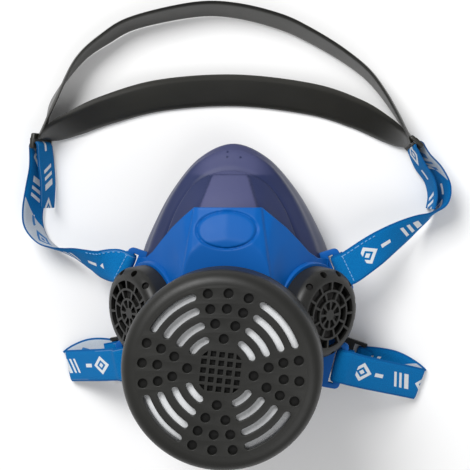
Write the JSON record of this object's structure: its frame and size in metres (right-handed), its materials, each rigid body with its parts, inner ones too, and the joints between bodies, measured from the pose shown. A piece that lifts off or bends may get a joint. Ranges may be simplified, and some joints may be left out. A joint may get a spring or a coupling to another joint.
{
  "type": "half-mask respirator",
  "caption": "Half-mask respirator with one central screw-cap filter, two side exhalation valves, a rigid front shell, a rubber facepiece and a webbing harness with a head cradle.",
  "frame": {"origin": "on the filter axis, in the plane of the cheek seals: the middle of the face opening", "axes": "+Z along the filter axis away from the face, +Y towards the nose and the head cradle, +X towards the wearer's left"},
  "size_m": [0.2104, 0.2146, 0.0941],
  "materials": {
    "facepiece_rubber": "satin",
    "shell_blue": "semi-gloss",
    "black_plastic": "satin",
    "grey_plastic": "matt",
    "filter_media": "matt",
    "clear_rubber": "satin",
    "webbing": "matt",
    "cradle_strip": "satin"
  },
  "bodies": {
    "mask": {"facepiece": "facepiece_rubber", "front_shell": "shell_blue", "filter_housing": "black_plastic", "housing_gasket": "clear_rubber", "housing_nut": "grey_plastic", "nut_washer": "grey_plastic", "cartridge_seal": "clear_rubber", "filter_cartridge": "filter_media", "exhalation_seat_left": "black_plastic", "exhalation_seat_right": "black_plastic", "upper_lug_loop_left": "webbing", "upper_lug_loop_right": "webbing"},
    "pad_carrier_body": {"dust_pad": "filter_media", "pad_carrier": "grey_plastic"},
    "cap": {"filter_cap": "black_plastic"},
    "inhalation_valve": {"inhalation_flap": "clear_rubber"},
    "exhalation_valve_left": {"exhalation_flap_left": "clear_rubber"},
    "exhalation_valve_right": {"exhalation_flap_right": "clear_rubber"},
    "valve_cover_left": {"exhalation_cover_left": "black_plastic"},
    "valve_cover_right": {"exhalation_cover_right": "black_plastic"},
    "head_harness": {"upper_strap_left": "webbing", "upper_strap_right": "webbing", "cradle_lower_strip": "cradle_strip", "cradle_upper_strip": "cradle_strip", "cradle_buckle_left": "cradle_strip", "cradle_buckle_right": "cradle_strip"},
    "neck_strap_left": {"lower_strap_left": "webbing", "neck_clip_eye": "black_plastic"},
    "neck_strap_right": {"lower_strap_right": "webbing", "neck_clip_hook": "black_plastic"}
  },
  "joints": [
    {"name": "cap_lift", "type": "slide", "parent": "mask", "child": "pad_carrier_body", "axis": [0, 0, 1], "range_m": [0, 0.006]},
    {"name": "cap_turn", "type": "hinge", "parent": "pad_carrier_body", "child": "cap", "pos_m": [0, 0, 0.08], "axis": [0, 0, 1], "range_deg": [0, 360]},
    {"name": "inhalation_flap_lift", "type": "slide", "parent": "mask", "child": "inhalation_valve", "axis": [0, 0, -1], "range_m": [0, 0.002], "stiffness_N_per_m": 30, "springref_m": -0.001},
    {"name": "exhalation_flap_lift_left", "type": "slide", "parent": "mask", "child": "exhalation_valve_left", "axis": [0.7439, -0.1001, 0.6608], "range_m": [0, 0.0016], "stiffness_N_per_m": 30, "springref_m": -0.0005},
    {"name": "cover_pull_left", "type": "slide", "parent": "mask", "child": "valve_cover_left", "axis": [0.7439, -0.1001, 0.6608], "range_m": [0, 0.004]},
    {"name": "exhalation_flap_lift_right", "type": "slide", "parent": "mask", "child": "exhalation_valve_right", "axis": [-0.7439, -0.1001, 0.6608], "range_m": [0, 0.0016], "stiffness_N_per_m": 30, "springref_m": -0.0005},
    {"name": "cover_pull_right", "type": "slide", "parent": "mask", "child": "valve_cover_right", "axis": [-0.7439, -0.1001, 0.6608], "range_m": [0, 0.004]},
    {"name": "harness_swing", "type": "hinge", "parent": "mask", "child": "head_harness", "pos_m": [0, 0.0388, 0.027], "axis": [1, 0, 0], "range_deg": [0, 118]},
    {"name": "neck_swing_left", "type": "hinge", "parent": "mask", "child": "neck_strap_left", "pos_m": [0.051, -0.0055, 0.035], "axis": [-0.2419, -0.9703, 0], "range_deg": [0, 75]},
    {"name": "neck_swing_right", "type": "hinge", "parent": "mask", "child": "neck_strap_right", "pos_m": [-0.051, -0.0055, 0.035], "axis": [-0.2419, 0.9703, 0], "range_deg": [0, 75]}
  ],
  "couplings": [
    {"joint": "cap_lift", "follows": "cap_turn", "m_per_rad": 0.00095493}
  ]
}
